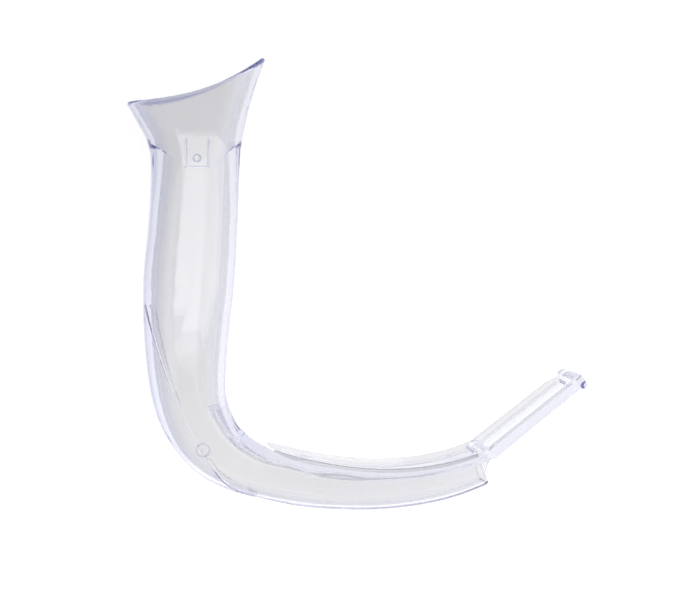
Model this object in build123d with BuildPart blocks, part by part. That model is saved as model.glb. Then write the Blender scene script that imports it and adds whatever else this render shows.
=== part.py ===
from build123d import *
import os

# Clear moulded blade for a video laryngoscope, lying on its side.
# +X runs along the channel towards the tip, +Y runs up the grip towards the mouth, and +Z is across
# the blade. The origin is the middle of the neck, where the mouth funnel meets the grip.

# ---- driving dimensions, mm ----
through = 40  # length of a cut that goes right across the blade, each way from the middle
far = 200  # reaches past the blade in every direction
weld_gap = 0.03  # between the two mouldings along their weld

grip_wall = 2.2
side_wall = 1.6
channel_wall = 1.4
mouth_wall = 2.1
roof_wall = 3.2  # from the top of the spatula's rims down to the channel's roof

# Stations down the mouth funnel and the grip, round the heel and along the channel:
# heel point, throat point, half depth across the blade, corner radius
stations = [
    ((-33.0, 35), (24.3, 35), 18.6, 15.0),
    ((-28.2, 24), (20.4, 24), 16.8, 13.0),
    ((-22.4, 14), (17.3, 14), 14.9, 11.0),
    ((-17.7, 6), (15.5, 6), 13.5, 10.0),
    ((-15.4, 0), (14.6, 0), 12.9, 9.5),
    ((-14.9, -8), (14.2, -8), 12.8, 9.5),
    ((-15.5, -22), (13.8, -22), 12.8, 9.5),
    ((-17.4, -44), (12.7, -44), 12.8, 9.5),
    ((-16.9, -65), (10.6, -65), 12.3, 9.0),
    ((-13.9, -85), (10.1, -79.5), 11.2, 8.0),
    ((-6.8, -99.3), (12.6, -88), 9.8, 6.5),
    ((3.5, -109.1), (17.6, -94.6), 8.6, 5.0),
    ((19.8, -115.5), (26.4, -99.3), 7.6, 4.0),
    ((42, -119.4), (44.6, -103.3), 7.1, 3.2),
    ((66, -119.7), (65.5, -105.0), 7.0, 3.0),
    ((86.1, -116.4), (82.5, -103.1), 7.0, 2.8),
    ((101.9, -110.5), (98.2, -99.5), 7.0, 2.6),
]
seat_end = 5  # the wand's shoulder is above this station
sections_per_span = 2

# Walls at the same stations: towards the heel, across the blade and towards the throat
heel_walls = [5.2, 4.6, 4.0, 3.6, 3.3, 2.8] + [grip_wall] * 4 + [channel_wall] * 7
side_walls = [2.0, 1.9, 1.8, 1.7] + [side_wall] * 6 + [channel_wall] * 7
throat_walls = [4.6, 4.2, 3.8, 3.4, 3.1, 2.7] + [grip_wall] * 4 + [2.4, 2.8, 3.1] + [roof_wall] * 4
mouth_walls = [mouth_wall] * 6

# The funnel's wide bore ends in a round-bottomed shoulder that the wand's collar sits on
seat_line = [(-26, 12), (-17.5, 5.4), (-13.0, 1.6), (-0.4, -5.5), (12.6, 2.6), (16.4, 6.6), (24, 14)]

rim_line = [(-26, 15.4), (-15.2, 16.4), (-0.4, 19.4), (12.8, 25.0), (26, 34.6)]
rim_lowest = 13  # every edge of the rim is above this
rim_round = 0.85

# How far the side panels lie below the heel band at each station; they fade out where it is negative
panel_steps = [-0.3] * 7 + [-0.15, 0.2, 0.55, 0.65, 0.65, 0.35, -0.2, -0.3, -0.3, -0.3]
# Crease between heel band and side panel: place in stations, share of the way from heel to throat
crease = [
    (7.33, 0.02),
    (7.45, 0.04),
    (8.44, 0.237),
    (9.41, 0.352),
    (10.47, 0.309),
    (11.71, 0.034),
    (11.95, 0.016),
]
crease_start = (-21, -47)  # outside the heel, so that the panels' edge runs out of the blade
crease_finish = (26, -120)
crease_radius = 0.55  # round groove along the crease
panel_throat = [(1.0, -47), (1.1, -60), (3.2, -75), (6.0, -85.6), (16, -90), (40, -95)]

# Weld line, from the elbow to the root of the tongue
weld_line = [
    (5.9, -85.6),
    (10.6, -93.4),
    (20.4, -100.4),
    (34.3, -106.0),
    (60, -109.1),
    (82, -107.2),
    (100.2, -101.4),
]
cover_lip = (14, -82.8)  # the cover's first edge runs from here, clear of the grip, to the weld line
cover_clear = (20, -60)  # above the cover and clear of the grip
elbow_to = 24.0  # the elbow piece ends inside the spatula here

spatula_top = [
    (16.2, -93.2),
    (20, -96.2),
    (28, -99.3),
    (42, -102.7),
    (60, -104.9),
    (78, -104.0),
    (95.6, -99.3),
]
spatula_under = [(60, -112), (30, -108)]  # below the weld line, where the cover is trimmed
spatula_root = (12, -98)  # the spatula's first edge runs from its top through the elbow piece to here
spatula_half = 13.0
spatula_plan = [(12, 8.2), (17, 8.8), (22, 10.2), (29, 12.2), (38, spatula_half)]  # x and half width
rim_width = 1.8
edge_round = 0.4
long_edge = 20  # an edge longer than this runs along the spatula or the tongue
side_edge_from = 10.5  # height across the blade past which an edge is at the side
trough_to = 94.0
trough_above = -90  # clear above the rims
trough_floor = [
    (22, -97.0),
    (27, -99.9),
    (33, -102.3),
    (42, -104.2),
    (60, -106.4),
    (78, -105.5),
    (95.6, -100.8),
]

tongue_root_under = (95.6, -104.0)
tongue_top_end = (125.6, -75.8)
tongue_tip = (130.9, -75.1)
tongue_under_end = (128.7, -78.6)
bead_rise = (0.5, 0.87)  # direction in which the bead at the tip lifts off the tongue's top
tongue_nose_length = 4.0
tongue_half = 11.9
tongue_overlap = 8  # the tongue's plan starts this far behind its root
tongue_corner = 4.0
tongue_trough_from = 2.2
tongue_trough_to = 36.0
tongue_trough_half = 9.8
tongue_trough_depth = 1.4
tongue_trough_corner = 2
tongue_trough_taper = -25  # its sides open upwards
tongue_trough_cut = 4  # height of the cut that makes it

# The channel's end face leans back and looks along the tongue
end_origin = (97.05, -106.0, 0)
end_lean = 19.3
end_foot = 6.1  # from the origin down the end face to the channel's lower corner
end_corner = 2.2  # radius of the lower corner, seen from the side
window_height = 7.3
window_width = 11.8
window_thickness = 1.0
window_inset = 0.3
window_shift = -0.8
window_fit = 0.05

# Gussets between the tongue's root and the end face, just clear of it
gusset_outside = 7.0
gusset_thickness = 1.5
gusset_inner_top = (95.65, -101.75)
gusset_outer_top = (101.0, -100.0)
gusset_under = (100.6, -101.15)
gusset_hollow = (98.5, -103.7)
gusset_foot = (97.6, -107.3)

# Latch tab in the side panel under the mouth: a U of slits with a flared root
tab_centre = -0.3
tab_half = 3.6
tab_neck = 0.3  # height at which the sides start to flare
tab_inside = 9.0  # height across the blade that is inside the bore under the tab
tab_bottom = -5.5
tab_root = 3.7
tab_root_half = 5.0
tab_corner = 0.9
tab_slit = 0.3
root_slit = 0.15
nub_centre = (-0.4, -2.6)
nub_radius = 1.25
nub_inside = 10.2  # height across the blade of the nub's inner end
nub_root = 1.4
nub_round = 0.4
nub_wall = 0.5

gate_centre = (2.2, -98.8)
gate_radius = 2.4
gate_ring = 0.5
gate_nib = 0.6
gate_height = 9.8  # height across the blade of the scar's top
gate_root = 1.4
ejector_marks = [((38.2, -111.6), 2.9), ((63.4, -113.0), 2.5)]
ejector_floor = 6.85


def between_stations(values, place):
    """A smooth (Catmull-Rom) value at a place counted in stations, from one value per station."""
    first = min(int(place), len(values) - 2)
    part = place - first
    start, end = values[first], values[first + 1]
    before = values[first - 1] if first > 0 else start * 2 - end
    after = values[first + 2] if first + 2 < len(values) else end * 2 - start
    slope_in = (end - before) * 0.5
    slope_out = (after - start) * 0.5
    rise = end - start
    curve = rise * 3 - slope_in * 2 - slope_out
    twist = slope_in + slope_out - rise * 2
    return start + slope_in * part + curve * part**2 + twist * part**3


end_plane = Plane(
    origin=end_origin,
    x_dir=Vector(0, 1, 0).rotate(Axis.Z, end_lean),
    z_dir=Vector(1, 0, 0).rotate(Axis.Z, end_lean),
)
end_side = Plane(origin=end_origin, x_dir=end_plane.z_dir, z_dir=(0, 0, 1))
heels = [Vector(*station[0]) for station in stations]
throats = [Vector(*station[1]) for station in stations]
half_depths = [station[2] for station in stations]
corners = [station[3] for station in stations]
no_inset = [0] * len(stations)


def on_outside(place, share):
    """The point of the outside at a place in stations, a share of the way from the heel to the throat."""
    heel = between_stations(heels, place)
    across = between_stations(throats, place) - heel
    half_depth = between_stations(half_depths, place)
    corner = between_stations(corners, place)
    into_corner = max(0, abs(share - 0.5) * across.length - across.length / 2 + corner)
    drop = corner - (corner**2 - into_corner**2) ** 0.5
    return heel + across * share + Vector(0, 0, half_depth - drop)


def blade_sections(last, heel_insets, throat_insets, side_insets):
    """Rounded rectangles down to the last station, drawn in from the outside by insets given per station."""
    faces = []
    for number in range(sections_per_span * last + 1):
        place = number / sections_per_span
        heel = between_stations(heels, place)
        across = between_stations(throats, place) - heel
        heel_in = between_stations(heel_insets, place)
        throat_in = between_stations(throat_insets, place)
        side_in = between_stations(side_insets, place)
        half_depth = between_stations(half_depths, place) - side_in
        plane = Plane(origin=heel + across * 0.5, x_dir=across, z_dir=across.cross(Vector(0, 0, 1)))
        with BuildSketch(plane) as section:
            with Locations(((heel_in - throat_in) / 2, 0)):
                RectangleRounded(
                    across.length - heel_in - throat_in,
                    2 * half_depth,
                    between_stations(corners, place) - side_in,
                )
        faces.append(section.sketch.faces()[0])
    return faces


def space_above_weld(gap):
    """The space above the weld line and below the cover's first edge, drawn in by a gap."""
    first = (weld_line[0][0] + 2 * gap, weld_line[0][1] - gap)
    lip = (cover_lip[0], cover_lip[1] - 2 * gap)
    with BuildPart() as space:
        with BuildSketch():
            with BuildLine():
                weld = Spline([first] + [(x + gap, y + gap) for x, y in weld_line[1:]])
                Polyline(weld @ 1, (far, weld_line[-1][1]), (far, cover_clear[1]), cover_clear)
                Polyline(cover_clear, lip, weld @ 0)
            make_face()
        extrude(amount=through, both=True)
    return space.part


def is_long_side_edge(edge):
    """Whether an edge runs along the blade at either side."""
    return edge.length > long_edge and abs(edge.center().Z) > side_edge_from


# ---- working shapes: the outside and the bores ----
with BuildPart() as outside:
    loft(blade_sections(len(stations) - 1, no_inset, no_inset, no_inset))

with BuildPart() as bore:
    loft(blade_sections(len(stations) - 1, heel_walls, throat_walls, side_walls))

with BuildPart() as mouth_bore:
    loft(blade_sections(seat_end, mouth_walls, mouth_walls, side_walls))
    with BuildSketch():
        with BuildLine():
            seat = Spline(seat_line)
            Polyline(seat @ 1, (far, -far), (-far, -far), seat @ 0)
        make_face()
    extrude(amount=through, both=True, mode=Mode.SUBTRACT)

# The side panels sink below the heel band between the crease and the throat line
crease_points = [on_outside(place, share) for place, share in crease]
with BuildPart() as panel_relief:
    with BuildSketch():
        with BuildLine():
            crease_plan = [(point.X, point.Y) for point in crease_points]
            crease_line = Spline([crease_start] + crease_plan + [crease_finish])
            throat_line = Spline(panel_throat)
            Polyline(crease_line @ 1, (panel_throat[-1][0], crease_finish[1]), throat_line @ 1)
            Polyline(throat_line @ 0, crease_line @ 0)
        make_face()
    extrude(amount=through, both=True)
    loft(blade_sections(len(stations) - 1, panel_steps, panel_steps, panel_steps), mode=Mode.SUBTRACT)

with BuildPart() as crease_groove:
    with BuildLine() as groove_path:
        Spline(crease_points)
    with BuildSketch(Plane(origin=groove_path.line @ 0, z_dir=groove_path.line % 0)):
        Circle(crease_radius)
    sweep(path=groove_path.line)
    mirror(about=Plane.XY)

# The clear walls of the sleeve before the latch slits are cut
with BuildPart() as shell:
    add(outside.part)
    with BuildSketch():
        with BuildLine():
            rim = Spline(rim_line)
            Polyline(rim @ 1, (far, far), (-far, far), rim @ 0)
        make_face()
    extrude(amount=through, both=True, mode=Mode.SUBTRACT)
    add(panel_relief.part, mode=Mode.SUBTRACT)
    add(crease_groove.part, mode=Mode.SUBTRACT)
    add(bore.part, mode=Mode.SUBTRACT)
    add(mouth_bore.part, mode=Mode.SUBTRACT)
    add(space_above_weld(0), mode=Mode.SUBTRACT)
    with BuildSketch(end_plane):
        Rectangle(2 * through, 2 * through)
    extrude(amount=through, mode=Mode.SUBTRACT)
    # round the channel's lower corner
    with BuildSketch(end_side):
        with Locations((-end_corner, end_corner - end_foot)):
            Rectangle(through, through, align=(Align.MIN, Align.MAX))
            Circle(end_corner, mode=Mode.SUBTRACT)
    extrude(amount=through, both=True, mode=Mode.SUBTRACT)
    fillet(shell.edges().filter_by(lambda edge: edge.bounding_box().min.Y > rim_lowest), radius=rim_round)

# Outline of the latch tab, wider at its root, and the space that it moves in
with BuildSketch() as tab_outline:
    with BuildLine():
        left_side = Line((tab_centre - tab_half, tab_bottom), (tab_centre - tab_half, tab_neck))
        left_flare = TangentArc(left_side @ 1, (tab_centre - tab_root_half, tab_root), tangent=left_side % 1)
        Line(left_flare @ 1, (tab_centre + tab_root_half, tab_root))
        right_side = Line((tab_centre + tab_half, tab_bottom), (tab_centre + tab_half, tab_neck))
        TangentArc(right_side @ 1, (tab_centre + tab_root_half, tab_root), tangent=right_side % 1)
        Line(left_side @ 0, right_side @ 0)
    make_face()
    fillet(tab_outline.vertices().group_by(Axis.Y)[0], radius=tab_corner)

with BuildSketch() as slit_outline:
    add(tab_outline.sketch)
    offset(amount=tab_slit)
    with Locations((0, tab_root + root_slit)):
        Rectangle(through, through, align=(Align.CENTER, Align.MIN), mode=Mode.SUBTRACT)

# ---- sleeve_body: funnel, grip, heel and open channel ----
with BuildPart() as sleeve_body:
    add(shell.part)
    with BuildSketch(Plane.XY.offset(tab_inside)):
        add(slit_outline.sketch)
    extrude(amount=through, mode=Mode.SUBTRACT)
    # rebate for the window in the end face
    with BuildSketch(end_plane):
        with Locations((window_shift, 0)):
            Rectangle(window_height + 2 * window_fit, window_width + 2 * window_fit)
    extrude(amount=-(window_thickness + window_inset + window_fit), mode=Mode.SUBTRACT)
    # raised gate scar on the near side of the heel
    with BuildSketch(Plane.XY.offset(gate_height)):
        with Locations(gate_centre):
            Circle(gate_radius)
            Circle(gate_radius - gate_ring, mode=Mode.SUBTRACT)
            Circle(gate_nib)
    extrude(amount=-gate_root)
    # shallow round ejector marks on the near side of the channel
    for centre, radius in ejector_marks:
        with BuildSketch(Plane.XY.offset(ejector_floor)):
            with Locations(centre):
                Circle(radius)
        extrude(amount=through, mode=Mode.SUBTRACT)
sleeve_body.part.label = "sleeve_body"

# ---- latch_tab: the piece of side panel inside the slits, with its round nub ----
with BuildPart() as latch_tab:
    with BuildSketch(Plane.XY.offset(tab_inside)):
        add(tab_outline.sketch)
    extrude(amount=through)
    add(shell.part, mode=Mode.INTERSECT)
    with BuildSketch(Plane.XY.offset(nub_inside)):
        with Locations(nub_centre):
            Circle(nub_radius)
    extrude(amount=nub_root)
    fillet(latch_tab.faces().sort_by(Axis.Z)[0].edges(), radius=nub_round)
    with BuildSketch(Plane.XY.offset(nub_inside + nub_wall)):
        with Locations(nub_centre):
            Circle(nub_radius - nub_wall)
    extrude(amount=through, mode=Mode.SUBTRACT)
latch_tab.part.label = "latch_tab"

# ---- blade_cover: elbow piece, spatula and lifting tongue ----
with BuildPart() as elbow_piece:
    add(outside.part)
    with BuildSketch(Plane.YZ.offset(elbow_to)):
        Rectangle(2 * far, 2 * far)
    extrude(amount=far, mode=Mode.SUBTRACT)

# The spatula: its side profile, trimmed to its plan
with BuildPart() as spatula:
    with BuildSketch():
        with BuildLine():
            top = Spline(spatula_top)
            Polyline(top @ 1, tongue_root_under, spatula_under, spatula_root, top @ 0)
        make_face()
    extrude(amount=through, both=True)
    with BuildSketch(Plane.XZ):
        with BuildLine():
            near_edge = Spline(spatula_plan)
            far_edge = Spline([(x, -z) for x, z in spatula_plan])
            Line(near_edge @ 0, far_edge @ 0)
            Polyline(near_edge @ 1, (far, spatula_half), (far, -spatula_half), far_edge @ 1)
        make_face()
    extrude(amount=far, both=True, mode=Mode.INTERSECT)
    top_face = spatula.faces().sort_by(SortBy.AREA)[-1]
    fillet(top_face.edges().filter_by(is_long_side_edge), radius=edge_round)

# The tongue: its side profile, trimmed to its rounded plan, with its own trough
tongue_line = Vector(*tongue_top_end, 0) - Vector(*spatula_top[-1], 0)
tongue_root = Vector(*spatula_top[-1], 0)
tongue_plane = Plane(origin=tongue_root, x_dir=tongue_line, z_dir=Vector(0, 0, 1).cross(tongue_line))
with BuildPart() as tongue:
    with BuildSketch():
        with BuildLine():
            tongue_top = Line(spatula_top[-1], tongue_top_end)
            tongue_bead = TangentArc(tongue_top @ 1, tongue_tip, tangent=bead_rise)
            tongue_nose = TangentArc(tongue_tip, tongue_under_end, tangent=tongue_bead % 1)
            Polyline(tongue_nose @ 1, weld_line[-1], tongue_root_under, tongue_top @ 0)
        make_face()
    extrude(amount=spatula_half, both=True)
    with BuildSketch(tongue_plane) as tongue_plan:
        with BuildLine():
            plan_tip = tongue_line.length + tongue_nose_length
            Polyline(
                (-tongue_overlap, -spatula_half),
                (0, -spatula_half),
                (plan_tip, -tongue_half),
                (plan_tip, tongue_half),
                (0, spatula_half),
                (-tongue_overlap, spatula_half),
                close=True,
            )
        make_face()
        fillet(tongue_plan.vertices().group_by(Axis.X)[-1], radius=tongue_corner)
    extrude(amount=through, both=True, mode=Mode.INTERSECT)
    fillet(tongue.edges().filter_by(is_long_side_edge), radius=edge_round)

# Spatula and tongue in one, with a trough in each
with BuildPart() as blade_top:
    add(spatula.part)
    add(tongue.part)
    with BuildSketch():
        with BuildLine():
            floor_line = Spline(trough_floor)
            above_start = (trough_floor[0][0], trough_above)
            above_end = (trough_floor[-1][0], trough_above)
            Polyline(floor_line @ 1, above_end, above_start, floor_line @ 0)
        make_face()
        Rectangle(2 * trough_to, 2 * far, mode=Mode.INTERSECT)
    extrude(amount=spatula_half - rim_width, both=True, mode=Mode.SUBTRACT)
    with BuildSketch(tongue_plane.offset(-tongue_trough_depth)):
        with Locations(((tongue_trough_from + tongue_trough_to) / 2, 0)):
            RectangleRounded(
                tongue_trough_to - tongue_trough_from,
                2 * tongue_trough_half,
                tongue_trough_corner,
            )
    extrude(amount=tongue_trough_cut, taper=tongue_trough_taper, mode=Mode.SUBTRACT)

# Gussets under the tongue's root, one each side of the window
with BuildPart() as gussets:
    with BuildSketch(Plane.XY.offset(-gusset_outside)):
        with BuildLine():
            Line(gusset_inner_top, gusset_outer_top)
            Line(gusset_outer_top, gusset_under)
            ThreePointArc(gusset_under, gusset_hollow, gusset_foot)
            Line(gusset_foot, gusset_inner_top)
        make_face()
    extrude(amount=gusset_thickness)
    mirror(about=Plane.XY)

with BuildPart() as blade_cover:
    add(elbow_piece.part)
    add(blade_top.part)
    add(space_above_weld(weld_gap), mode=Mode.INTERSECT)
    add(bore.part, mode=Mode.SUBTRACT)
    add(gussets.part)
blade_cover.part.label = "blade_cover"

# ---- camera_window: flat plate in the rebate of the end face ----
with BuildPart() as camera_window:
    with BuildSketch(end_plane.offset(-window_inset)):
        with Locations((window_shift, 0)):
            Rectangle(window_height, window_width)
    extrude(amount=-window_thickness)
camera_window.part.label = "camera_window"

os.makedirs("parts", exist_ok=True)
for piece in (sleeve_body, blade_cover, camera_window, latch_tab):
    export_step(piece.part, f"parts/{piece.part.label}.step")
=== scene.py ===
"""Looks of the clear laryngoscope blade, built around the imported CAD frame."""

from math import radians

import bpy
from mathutils import Euler, Matrix, Vector


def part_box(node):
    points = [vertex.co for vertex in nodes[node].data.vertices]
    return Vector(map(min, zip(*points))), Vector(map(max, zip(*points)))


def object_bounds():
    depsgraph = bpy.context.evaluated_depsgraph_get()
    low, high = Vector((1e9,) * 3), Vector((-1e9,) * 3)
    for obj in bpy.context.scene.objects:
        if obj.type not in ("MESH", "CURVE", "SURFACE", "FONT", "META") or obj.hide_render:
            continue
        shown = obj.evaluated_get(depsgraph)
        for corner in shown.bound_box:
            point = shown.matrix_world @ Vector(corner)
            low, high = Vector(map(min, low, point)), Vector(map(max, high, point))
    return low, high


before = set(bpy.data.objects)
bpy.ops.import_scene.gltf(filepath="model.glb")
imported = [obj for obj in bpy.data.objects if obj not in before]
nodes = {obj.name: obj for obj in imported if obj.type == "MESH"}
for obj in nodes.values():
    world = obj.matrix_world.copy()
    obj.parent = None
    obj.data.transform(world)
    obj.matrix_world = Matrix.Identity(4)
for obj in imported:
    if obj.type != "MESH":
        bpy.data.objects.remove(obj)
cad_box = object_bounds()
scene = bpy.context.scene

MM = 0.001
TAB_LOW, TAB_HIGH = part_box("latch_tab")

# ---- camera: above the near side panel, a few degrees off the vertical ----
CAMERA_PLACE = Vector((-44.617, -0.379, 738.381)) * MM
CAMERA_TURN = (-3.8536, -7.2390, 0.4863)  # degrees about X, Y and Z
CAMERA_LENS = 116.69
SENSOR_WIDTH = 36.0
CAMERA_NEAR = 10 * MM

# ---- plastic: a tint's density is per metre of plastic ----
PLASTIC_IOR = 1.57
BODY_COLOUR = (0.82, 0.82, 0.824)
BODY_TINT = (0.84, 0.84, 0.95)
BODY_DENSITY = 60.0
BODY_ROUGHNESS = 0.02
BODY_BUMP = 0.05
COVER_COLOUR = (0.72, 0.72, 0.73)
COVER_TINT = (0.80, 0.80, 1.0)
COVER_DENSITY = 17.0
COVER_ROUGHNESS = 0.008
COVER_BUMP = 0.004
WINDOW_COLOUR = (0.96, 0.96, 0.97)
WINDOW_DENSITY = 8.0
# painted shade: the dark violet that clear plastic shows where it is seen edge on, painted into
# the base colour
EDGE_SHADE_COLOUR = (0.62, 0.63, 0.74)

MARK_SCALE = 260.0  # fine marks, in the colour and the roughness
MARK_DETAIL = 3.0
MARK_GAIN = 1.02
ROUGHNESS_SPREAD = (0.5, 1.5)
FLOW_SCALE = 60.0  # broad flow marks, as a bump
FLOW_DETAIL = 2.0
FLOW_DEPTH = 1 * MM

# ---- where painted shade darkens the plastic to violet, as thick clear plastic looks edge on ----
RIM_HEIGHT = 19.6 * MM  # the rim's height above the neck at x = 0, its slope and its bend
RIM_SLOPE = 0.36
RIM_BEND = 8.3
RIM_BAND = (-2.0 * MM, -1.0 * MM)

TAB_MIDDLE = (TAB_LOW.x + TAB_HIGH.x) / 2
TAB_HALF = 3.6 * MM
TAB_REACH = 1.5 * MM  # how far under the tab's lowest point its face still gets the painted shade
SLIT_BAND = (0.5 * MM, 0.2 * MM)

# rings of painted shade round the nub on the latch tab and round the gate scar, two real moulded
# features
NUB = (-0.4 * MM, -2.6 * MM)
NUB_RADIUS = 1.2 * MM
GATE = (2.2 * MM, -98.8 * MM)
GATE_RADIUS = 2.15 * MM
GATE_SHARE = 0.7
RING_BAND = (0.45 * MM, 0.1 * MM)

# painted shade on steep walls: full on the heel's side, THROAT_SHARE of it elsewhere, and on the
# cover also up to the elbow
STEEP_BAND = (0.97, 0.45)  # the normal's size across the blade, from flat panel to wall
TURNED_BAND = (0.1, -0.6)  # the normal's lean towards the heel
HEEL_BAND = (2 * MM, -4 * MM)  # from the middle of the grip or channel out to the heel
HEEL_TURN = 108 * MM  # how far below the neck the middle of the channel runs
THROAT_SHARE = 0.3
ELBOW_BAND = (26 * MM, 18 * MM)
ELBOW_SHARE = 0.5

# ---- studio ----
FLOOR_SIZE = 12
FLOOR_GAP = 0.5 * MM
FLOOR_GREY = 0.35
FLOOR_ROUGHNESS = 0.8
FLOOR_RUN = (0.05, -0.15)  # along Y
FLOOR_GLOW = (0.82, 1.10)  # at the two ends of that run

PANEL_LIGHT_PLACE = Vector((0.465, -0.085, 0.75))
PANEL_LIGHT_SIZE = (0.87, 0.21)
PANEL_LIGHT_POWER = 0.8

SKY_RUN = (-0.7, 0.8)  # along X, from the heel's side to the tip's
SKY_LIFT = (0.1, 0.5)  # from the horizon to overhead
OVERHEAD = ((0.30, 0.30, 0.31), (1.10, 1.10, 1.13))
HORIZON = ((0.60, 0.60, 0.64), (1.12, 1.12, 1.18))

GLASS_BOUNCES = 64  # long paths inside the rim go black with fewer
DIFFUSE_BOUNCES = 4


def opaque(colour):
    return (*colour, 1)


class Tree:
    """A short way to write a node tree: each call adds one node and returns its output."""

    def __init__(self, owner):
        owner.use_nodes = True
        self.tree = owner.node_tree

    def add(self, kind, output=0, inputs=(), **settings):
        node = self.tree.nodes.new(kind)
        for name, value in settings.items():
            setattr(node, name, value)
        for name, value in dict(inputs).items():
            if isinstance(value, bpy.types.NodeSocket):
                self.link(value, node.inputs[name])
            else:
                node.inputs[name].default_value = value
        return node.outputs[output]

    def link(self, output, socket):
        self.tree.links.new(output, socket)

    def math(self, operation, *values):
        return self.add("ShaderNodeMath", inputs=dict(enumerate(values)), operation=operation)

    def either(self, *shares):
        """The largest of the shares."""
        largest, *rest = shares
        for share in rest:
            largest = self.math("MAXIMUM", largest, share)
        return largest

    def fade(self, value, start, end, low=0.0, high=1.0):
        """low where value is start, high where it is end, smooth in between."""
        return self.add(
            "ShaderNodeMapRange",
            inputs={
                "Value": value,
                "From Min": start,
                "From Max": end,
                "To Min": low,
                "To Max": high,
            },
            interpolation_type="SMOOTHSTEP",
        )

    def split(self, vector):
        """The x, y and z of a vector."""
        parts = self.tree.nodes.new("ShaderNodeSeparateXYZ")
        self.link(vector, parts.inputs[0])
        return parts.outputs

    def mix(self, share, first, second):
        inputs = {0: share, 6: first, 7: second}
        return self.add("ShaderNodeMix", 2, inputs, data_type="RGBA")


def rim_shade(t, place):
    """Painted shade along the rim of the mouth, where the flared wall is seen edge on."""
    line = t.math("MULTIPLY_ADD", place[0], RIM_BEND, RIM_SLOPE)
    line = t.math("MULTIPLY_ADD", place[0], line, RIM_HEIGHT)
    return t.fade(t.math("SUBTRACT", place[1], line), *RIM_BAND)


def slit_shade(t, place):
    """Painted shade along the sides and the bottom of the latch tab, on its own face of the blade,
    where the gap round the tab looks dark.
    """
    off_middle = t.math("ABSOLUTE", t.math("SUBTRACT", place[0], TAB_MIDDLE))
    across = t.math("SUBTRACT", off_middle, TAB_HALF)
    below = t.math("SUBTRACT", TAB_LOW.y, place[1])
    edge = t.math("ABSOLUTE", t.math("MAXIMUM", across, below))
    near = t.math("GREATER_THAN", place[2], TAB_LOW.z - TAB_REACH)
    under = t.math("LESS_THAN", place[1], TAB_HIGH.y)
    return t.math("MULTIPLY", t.fade(edge, *SLIT_BAND), t.math("MULTIPLY", near, under))


def ring_shade(t, place, centre, radius):
    """Painted shade along a circle on the near side of the blade."""
    x = t.math("SUBTRACT", place[0], centre[0])
    y = t.math("SUBTRACT", place[1], centre[1])
    away = t.math("SQRT", t.math("ADD", t.math("MULTIPLY", x, x), t.math("MULTIPLY", y, y)))
    ring = t.math("ABSOLUTE", t.math("SUBTRACT", away, radius))
    near = t.math("GREATER_THAN", place[2], 0)
    return t.math("MULTIPLY", t.fade(ring, *RING_BAND), near)


def wall_shade(t, place):
    """Painted shade on steep walls, where the plastic is seen edge on; strongest on the heel's
    side, which the studio lights least.
    """
    slope = t.split(t.add("ShaderNodeTexCoord", "Normal"))
    steep = t.fade(t.math("ABSOLUTE", slope[2]), *STEEP_BAND)
    turned = t.fade(t.math("ADD", slope[0], slope[1]), *TURNED_BAND)
    inward = t.math("MINIMUM", place[0], t.math("ADD", place[1], HEEL_TURN))
    heel_side = t.math("MULTIPLY", turned, t.fade(inward, *HEEL_BAND))
    return t.math("MULTIPLY", steep, t.math("MAXIMUM", heel_side, THROAT_SHARE))


def body_edge_shade(t, place):
    gate = t.math("MULTIPLY", ring_shade(t, place, GATE, GATE_RADIUS), GATE_SHARE)
    return t.either(rim_shade(t, place), slit_shade(t, place), gate, wall_shade(t, place))


def tab_edge_shade(t, place):
    return t.either(ring_shade(t, place, NUB, NUB_RADIUS), slit_shade(t, place))


def cover_edge_shade(t, place):
    # painted shade on the cover up to the elbow, fading out past it towards the tip
    elbow = t.math("MULTIPLY", t.fade(place[0], *ELBOW_BAND), ELBOW_SHARE)
    return t.either(elbow, wall_shade(t, place))


def clear_plastic(name, colour, tint, density, roughness=0.0, bump=0.0, edge_shade=None):
    """Clear moulded plastic: refracting, tinted by its depth, with faint flow marks and, where
    given, painted shade along its edges.
    """
    material = bpy.data.materials.new(name)
    t = Tree(material)
    shader = t.tree.nodes["Principled BSDF"]
    shader.inputs["Transmission Weight"].default_value = 1.0
    shader.inputs["IOR"].default_value = PLASTIC_IOR
    position = t.add("ShaderNodeTexCoord", "Object")

    marks = t.add(
        "ShaderNodeTexNoise",
        "Fac",
        {"Vector": position, "Scale": MARK_SCALE, "Detail": MARK_DETAIL},
    )
    lighter = [min(1, channel * MARK_GAIN) for channel in colour]
    shown = t.mix(marks, opaque(colour), opaque(lighter))
    if edge_shade is not None:
        # painted shade: the edge-on darkening of clear plastic, mixed over the base colour where
        # the mask says
        shown = t.mix(edge_shade(t, t.split(position)), shown, opaque(EDGE_SHADE_COLOUR))
    t.link(shown, shader.inputs["Base Color"])

    smoothest, roughest = (roughness * spread for spread in ROUGHNESS_SPREAD)
    rough = t.add(
        "ShaderNodeMapRange",
        inputs={"Value": marks, "To Min": smoothest, "To Max": roughest},
    )
    t.link(rough, shader.inputs["Roughness"])

    flow = t.add(
        "ShaderNodeTexNoise",
        "Fac",
        {"Vector": position, "Scale": FLOW_SCALE, "Detail": FLOW_DETAIL},
    )
    relief = t.add(
        "ShaderNodeBump",
        inputs={"Strength": bump, "Distance": FLOW_DEPTH, "Height": flow},
    )
    t.link(relief, shader.inputs["Normal"])

    absorb = t.add(
        "ShaderNodeVolumeAbsorption", inputs={"Color": opaque(tint), "Density": density}
    )
    t.link(absorb, t.tree.nodes["Material Output"].inputs["Volume"])
    return material


def give(node, material):
    nodes[node].data.materials.clear()
    nodes[node].data.materials.append(material)


def make_camera():
    data = bpy.data.cameras.new("camera")
    data.lens = CAMERA_LENS
    data.sensor_width = SENSOR_WIDTH
    data.clip_start = CAMERA_NEAR
    camera = bpy.data.objects.new("camera", data)
    turn = Euler([radians(angle) for angle in CAMERA_TURN])
    camera.matrix_world = Matrix.Translation(CAMERA_PLACE) @ turn.to_matrix().to_4x4()
    scene.collection.objects.link(camera)
    scene.camera = camera


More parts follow.
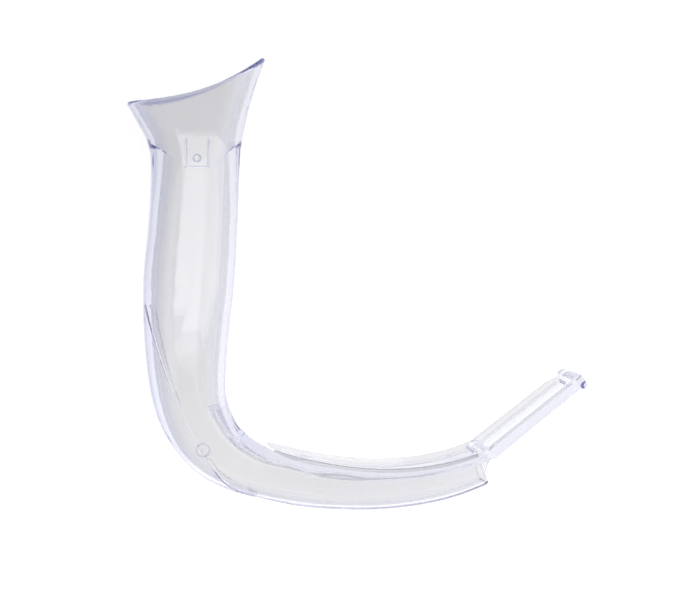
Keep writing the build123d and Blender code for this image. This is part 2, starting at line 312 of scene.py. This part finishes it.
def make_floor():
    """A pale floor that glows a little more towards the foot of the picture."""
    height = cad_box[0].z - FLOOR_GAP
    bpy.ops.mesh.primitive_plane_add(size=FLOOR_SIZE, location=(0, 0, height))
    floor = bpy.context.object
    floor.name = "floor"
    material = bpy.data.materials.new("floor")
    t = Tree(material)
    shader = t.tree.nodes["Principled BSDF"]
    shader.inputs["Base Color"].default_value = opaque((FLOOR_GREY,) * 3)
    shader.inputs["Roughness"].default_value = FLOOR_ROUGHNESS
    shader.inputs["Specular IOR Level"].default_value = 0.0
    shader.inputs["Emission Color"].default_value = (1, 1, 1, 1)
    place = t.split(t.add("ShaderNodeTexCoord", "Object"))
    t.link(t.fade(place[1], *FLOOR_RUN, *FLOOR_GLOW), shader.inputs["Emission Strength"])
    floor.data.materials.append(material)


def make_panel_light():
    """A softbox facing straight down, off to the tip's side, which the flat side panel mirrors."""
    data = bpy.data.lights.new("panel_light", "AREA")
    data.shape = "RECTANGLE"
    data.size, data.size_y = PANEL_LIGHT_SIZE
    data.energy = PANEL_LIGHT_POWER
    light = bpy.data.objects.new("panel_light", data)
    light.location = PANEL_LIGHT_PLACE
    scene.collection.objects.link(light)


def make_world():
    """A studio that is dim on the heel's side and bright on the other."""
    world = bpy.data.worlds.new("world")
    t = Tree(world)
    direction = t.split(t.add("ShaderNodeTexCoord", "Generated"))
    share = t.fade(direction[0], *SKY_RUN)
    above, around = (t.mix(share, *map(opaque, pair)) for pair in (OVERHEAD, HORIZON))
    colour = t.mix(t.fade(direction[2], *SKY_LIFT), around, above)
    t.link(colour, t.tree.nodes["Background"].inputs["Color"])
    scene.world = world


body = (BODY_COLOUR, BODY_TINT, BODY_DENSITY, BODY_ROUGHNESS, BODY_BUMP)
cover = (COVER_COLOUR, COVER_TINT, COVER_DENSITY, COVER_ROUGHNESS, COVER_BUMP)
give("sleeve_body", clear_plastic("clear_body", *body, edge_shade=body_edge_shade))
give("blade_cover", clear_plastic("clear_cover", *cover, edge_shade=cover_edge_shade))
give("camera_window", clear_plastic("clear_window", WINDOW_COLOUR, BODY_TINT, WINDOW_DENSITY))
give("latch_tab", clear_plastic("clear_tab", *body, edge_shade=tab_edge_shade))

make_camera()
make_floor()
make_world()
make_panel_light()

scene.view_settings.view_transform = "Standard"
scene.cycles.max_bounces = GLASS_BOUNCES
scene.cycles.transmission_bounces = GLASS_BOUNCES
scene.cycles.glossy_bounces = GLASS_BOUNCES
scene.cycles.diffuse_bounces = DIFFUSE_BOUNCES
scene.cycles.use_denoising = True
